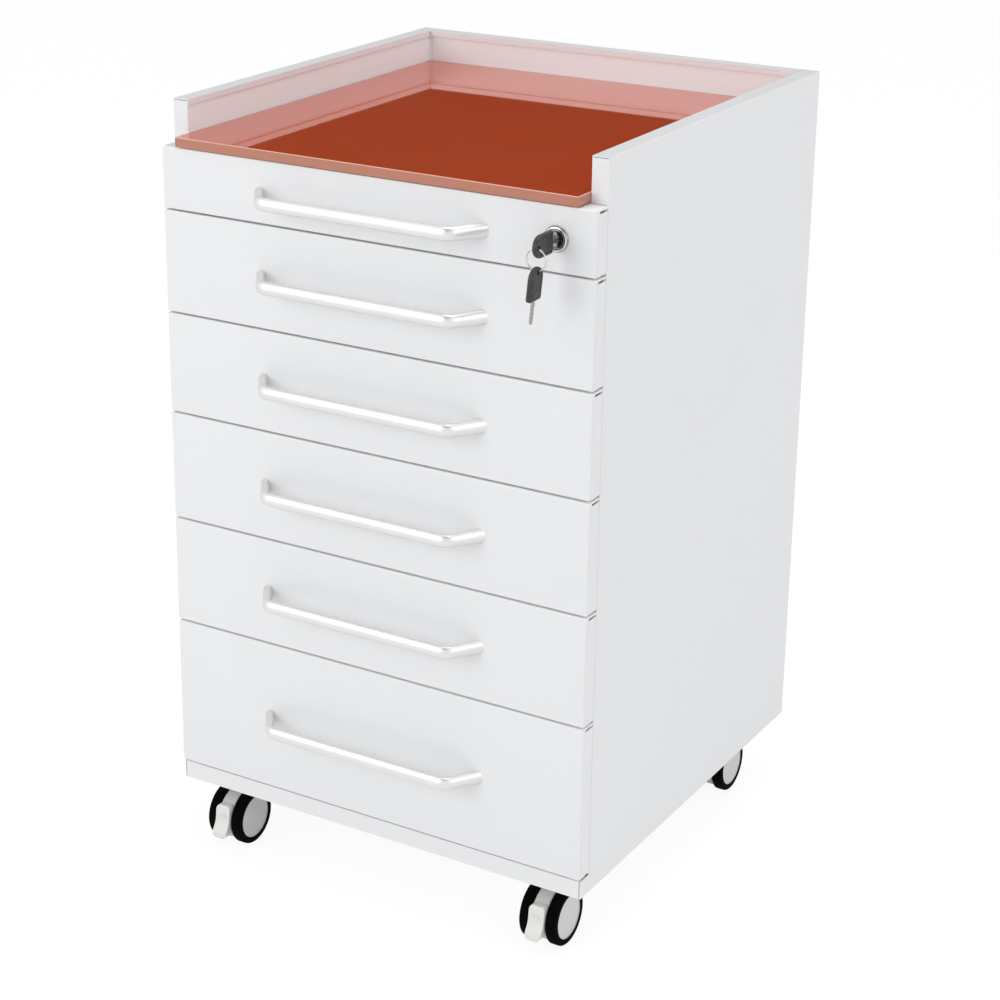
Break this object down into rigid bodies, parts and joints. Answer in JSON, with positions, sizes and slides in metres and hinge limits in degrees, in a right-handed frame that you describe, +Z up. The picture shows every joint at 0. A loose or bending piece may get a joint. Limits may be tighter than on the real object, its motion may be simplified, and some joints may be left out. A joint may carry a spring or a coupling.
{
  "type": "mobile drawer cabinet",
  "caption": "Mobile dental surgery cabinet: white steel carcass on twin-wheel castors, stacked drawers with bow handles, cam lock with keys, raised gallery round a red glass worktop.",
  "frame": {"origin": "on the floor under the middle of the bounding box", "axes": "+Z up; the drawer fronts face -Y; +X to the viewer's right, the side with the lock"},
  "size_m": [0.5, 0.5494, 0.841],
  "materials": {
    "white_enamel": "satin powder coat",
    "zinc_steel": "zinc-plated",
    "red_glass": "back-painted, glossy",
    "satin_handle": "satin",
    "nickel": "satin nickel",
    "black_key": "moulded",
    "hood_grey": "moulded",
    "castor_wheel": "matt tread on a grey hub",
    "pedal_cream": "moulded"
  },
  "bodies": {
    "carcass": {"side_panel_left": "white_enamel", "side_panel_right": "white_enamel", "side_liner_left": "zinc_steel", "side_liner_right": "zinc_steel", "back_panel": "white_enamel", "top_deck": "white_enamel", "strike_rail": "white_enamel", "base_tray": "white_enamel", "glass_top": "red_glass", "runner_outer_members": "zinc_steel", "castor_plates": "zinc_steel"},
    "drawer_1": {"drawer_1_front": "white_enamel", "drawer_1_box": "white_enamel", "drawer_1_handle": "satin_handle", "drawer_1_runner_inner": "zinc_steel", "lock_barrel": "nickel"},
    "drawer_1_middle": {"drawer_1_runner_middle": "zinc_steel"},
    "drawer_2": {"drawer_2_front": "white_enamel", "drawer_2_box": "white_enamel", "drawer_2_handle": "satin_handle", "drawer_2_runner_inner": "zinc_steel"},
    "drawer_2_middle": {"drawer_2_runner_middle": "zinc_steel"},
    "drawer_3": {"drawer_3_front": "white_enamel", "drawer_3_box": "white_enamel", "drawer_3_handle": "satin_handle", "drawer_3_runner_inner": "zinc_steel"},
    "drawer_3_middle": {"drawer_3_runner_middle": "zinc_steel"},
    "drawer_4": {"drawer_4_front": "white_enamel", "drawer_4_box": "white_enamel", "drawer_4_handle": "satin_handle", "drawer_4_runner_inner": "zinc_steel"},
    "drawer_4_middle": {"drawer_4_runner_middle": "zinc_steel"},
    "drawer_5": {"drawer_5_front": "white_enamel", "drawer_5_box": "white_enamel", "drawer_5_handle": "satin_handle", "drawer_5_runner_inner": "zinc_steel"},
    "drawer_5_middle": {"drawer_5_runner_middle": "zinc_steel"},
    "drawer_6": {"drawer_6_front": "white_enamel", "drawer_6_box": "white_enamel", "drawer_6_handle": "satin_handle", "drawer_6_runner_inner": "zinc_steel"},
    "drawer_6_middle": {"drawer_6_runner_middle": "zinc_steel"},
    "lock_plug": {"lock_plug": "nickel", "lock_cam": "zinc_steel"},
    "key": {"key": "black_key"},
    "key_ring": {"key_ring": "nickel"},
    "castor_front_left": {"castor_front_left_hood": "hood_grey"},
    "castor_front_left_wheel_left": {"castor_front_left_wheel_left": "castor_wheel"},
    "castor_front_left_wheel_right": {"castor_front_left_wheel_right": "castor_wheel"},
    "castor_front_left_pedal": {"castor_front_left_pedal": "pedal_cream"},
    "castor_front_right": {"castor_front_right_hood": "hood_grey"},
    "castor_front_right_wheel_left": {"castor_front_right_wheel_left": "castor_wheel"},
    "castor_front_right_wheel_right": {"castor_front_right_wheel_right": "castor_wheel"},
    "castor_front_right_pedal": {"castor_front_right_pedal": "pedal_cream"},
    "castor_rear_left": {"castor_rear_left_hood": "hood_grey"},
    "castor_rear_left_wheel_left": {"castor_rear_left_wheel_left": "castor_wheel"},
    "castor_rear_left_wheel_right": {"castor_rear_left_wheel_right": "castor_wheel"},
    "castor_rear_right": {"castor_rear_right_hood": "hood_grey"},
    "castor_rear_right_wheel_left": {"castor_rear_right_wheel_left": "castor_wheel"},
    "castor_rear_right_wheel_right": {"castor_rear_right_wheel_right": "castor_wheel"}
  },
  "joints": [
    {"name": "drawer_1_slide", "type": "slide", "parent": "carcass", "child": "drawer_1", "axis": [0, -1, 0], "range_m": [0, 0.4]},
    {"name": "drawer_1_middle_slide", "type": "slide", "parent": "carcass", "child": "drawer_1_middle", "axis": [0, -1, 0], "range_m": [0, 0.2]},
    {"name": "drawer_2_slide", "type": "slide", "parent": "carcass", "child": "drawer_2", "axis": [0, -1, 0], "range_m": [0, 0.4]},
    {"name": "drawer_2_middle_slide", "type": "slide", "parent": "carcass", "child": "drawer_2_middle", "axis": [0, -1, 0], "range_m": [0, 0.2]},
    {"name": "drawer_3_slide", "type": "slide", "parent": "carcass", "child": "drawer_3", "axis": [0, -1, 0], "range_m": [0, 0.4]},
    {"name": "drawer_3_middle_slide", "type": "slide", "parent": "carcass", "child": "drawer_3_middle", "axis": [0, -1, 0], "range_m": [0, 0.2]},
    {"name": "drawer_4_slide", "type": "slide", "parent": "carcass", "child": "drawer_4", "axis": [0, -1, 0], "range_m": [0, 0.4]},
    {"name": "drawer_4_middle_slide", "type": "slide", "parent": "carcass", "child": "drawer_4_middle", "axis": [0, -1, 0], "range_m": [0, 0.2]},
    {"name": "drawer_5_slide", "type": "slide", "parent": "carcass", "child": "drawer_5", "axis": [0, -1, 0], "range_m": [0, 0.4]},
    {"name": "drawer_5_middle_slide", "type": "slide", "parent": "carcass", "child": "drawer_5_middle", "axis": [0, -1, 0], "range_m": [0, 0.2]},
    {"name": "drawer_6_slide", "type": "slide", "parent": "carcass", "child": "drawer_6", "axis": [0, -1, 0], "range_m": [0, 0.4]},
    {"name": "drawer_6_middle_slide", "type": "slide", "parent": "carcass", "child": "drawer_6_middle", "axis": [0, -1, 0], "range_m": [0, 0.2]},
    {"name": "lock_turn", "type": "hinge", "parent": "drawer_1", "child": "lock_plug", "pos_m": [0.208, -0.23175, 0.7635], "axis": [0, 1, 0], "range_deg": [0, 90]},
    {"name": "key_pull", "type": "slide", "parent": "lock_plug", "child": "key", "axis": [0, -1, 0], "range_m": [0, 0.03]},
    {"name": "key_ring_swing", "type": "hinge", "parent": "key", "child": "key_ring", "pos_m": [0.208, -0.26975, 0.7635], "axis": [-1, 0, 0], "range_deg": [-12, 45]},
    {"name": "castor_front_left_swivel", "type": "hinge", "parent": "carcass", "child": "castor_front_left", "pos_m": [-0.2, -0.17775, 0.07], "axis": [0, 0, 1], "continuous": true},
    {"name": "castor_front_left_wheel_left_roll", "type": "hinge", "parent": "castor_front_left", "child": "castor_front_left_wheel_left", "pos_m": [-0.2154, -0.19675, 0.0315], "axis": [1, 0, 0], "continuous": true},
    {"name": "castor_front_left_wheel_right_roll", "type": "hinge", "parent": "castor_front_left", "child": "castor_front_left_wheel_right", "pos_m": [-0.1846, -0.19675, 0.0315], "axis": [1, 0, 0], "continuous": true},
    {"name": "castor_front_left_brake", "type": "hinge", "parent": "castor_front_left", "child": "castor_front_left_pedal", "pos_m": [-0.2, -0.21375, 0.046], "axis": [-1, 0, 0], "range_deg": [0, 20]},
    {"name": "castor_front_right_swivel", "type": "hinge", "parent": "carcass", "child": "castor_front_right", "pos_m": [0.2, -0.17775, 0.07], "axis": [0, 0, 1], "continuous": true},
    {"name": "castor_front_right_wheel_left_roll", "type": "hinge", "parent": "castor_front_right", "child": "castor_front_right_wheel_left", "pos_m": [0.1846, -0.19675, 0.0315], "axis": [1, 0, 0], "continuous": true},
    {"name": "castor_front_right_wheel_right_roll", "type": "hinge", "parent": "castor_front_right", "child": "castor_front_right_wheel_right", "pos_m": [0.2154, -0.19675, 0.0315], "axis": [1, 0, 0], "continuous": true},
    {"name": "castor_front_right_brake", "type": "hinge", "parent": "castor_front_right", "child": "castor_front_right_pedal", "pos_m": [0.2, -0.21375, 0.046], "axis": [-1, 0, 0], "range_deg": [0, 20]},
    {"name": "castor_rear_left_swivel", "type": "hinge", "parent": "carcass", "child": "castor_rear_left", "pos_m": [-0.2, 0.22075, 0.07], "axis": [0, 0, 1], "continuous": true},
    {"name": "castor_rear_left_wheel_left_roll", "type": "hinge", "parent": "castor_rear_left", "child": "castor_rear_left_wheel_left", "pos_m": [-0.2154, 0.20175, 0.0315], "axis": [1, 0, 0], "continuous": true},
    {"name": "castor_rear_left_wheel_right_roll", "type": "hinge", "parent": "castor_rear_left", "child": "castor_rear_left_wheel_right", "pos_m": [-0.1846, 0.20175, 0.0315], "axis": [1, 0, 0], "continuous": true},
    {"name": "castor_rear_right_swivel", "type": "hinge", "parent": "carcass", "child": "castor_rear_right", "pos_m": [0.2, 0.22075, 0.07], "axis": [0, 0, 1], "continuous": true},
    {"name": "castor_rear_right_wheel_left_roll", "type": "hinge", "parent": "castor_rear_right", "child": "castor_rear_right_wheel_left", "pos_m": [0.1846, 0.20175, 0.0315], "axis": [1, 0, 0], "continuous": true},
    {"name": "castor_rear_right_wheel_right_roll", "type": "hinge", "parent": "castor_rear_right", "child": "castor_rear_right_wheel_right", "pos_m": [0.2154, 0.20175, 0.0315], "axis": [1, 0, 0], "continuous": true}
  ],
  "couplings": [
    {"joint": "drawer_1_middle_slide", "follows": "drawer_1_slide", "ratio": 0.5},
    {"joint": "drawer_2_middle_slide", "follows": "drawer_2_slide", "ratio": 0.5},
    {"joint": "drawer_3_middle_slide", "follows": "drawer_3_slide", "ratio": 0.5},
    {"joint": "drawer_4_middle_slide", "follows": "drawer_4_slide", "ratio": 0.5},
    {"joint": "drawer_5_middle_slide", "follows": "drawer_5_slide", "ratio": 0.5},
    {"joint": "drawer_6_middle_slide", "follows": "drawer_6_slide", "ratio": 0.5}
  ]
}
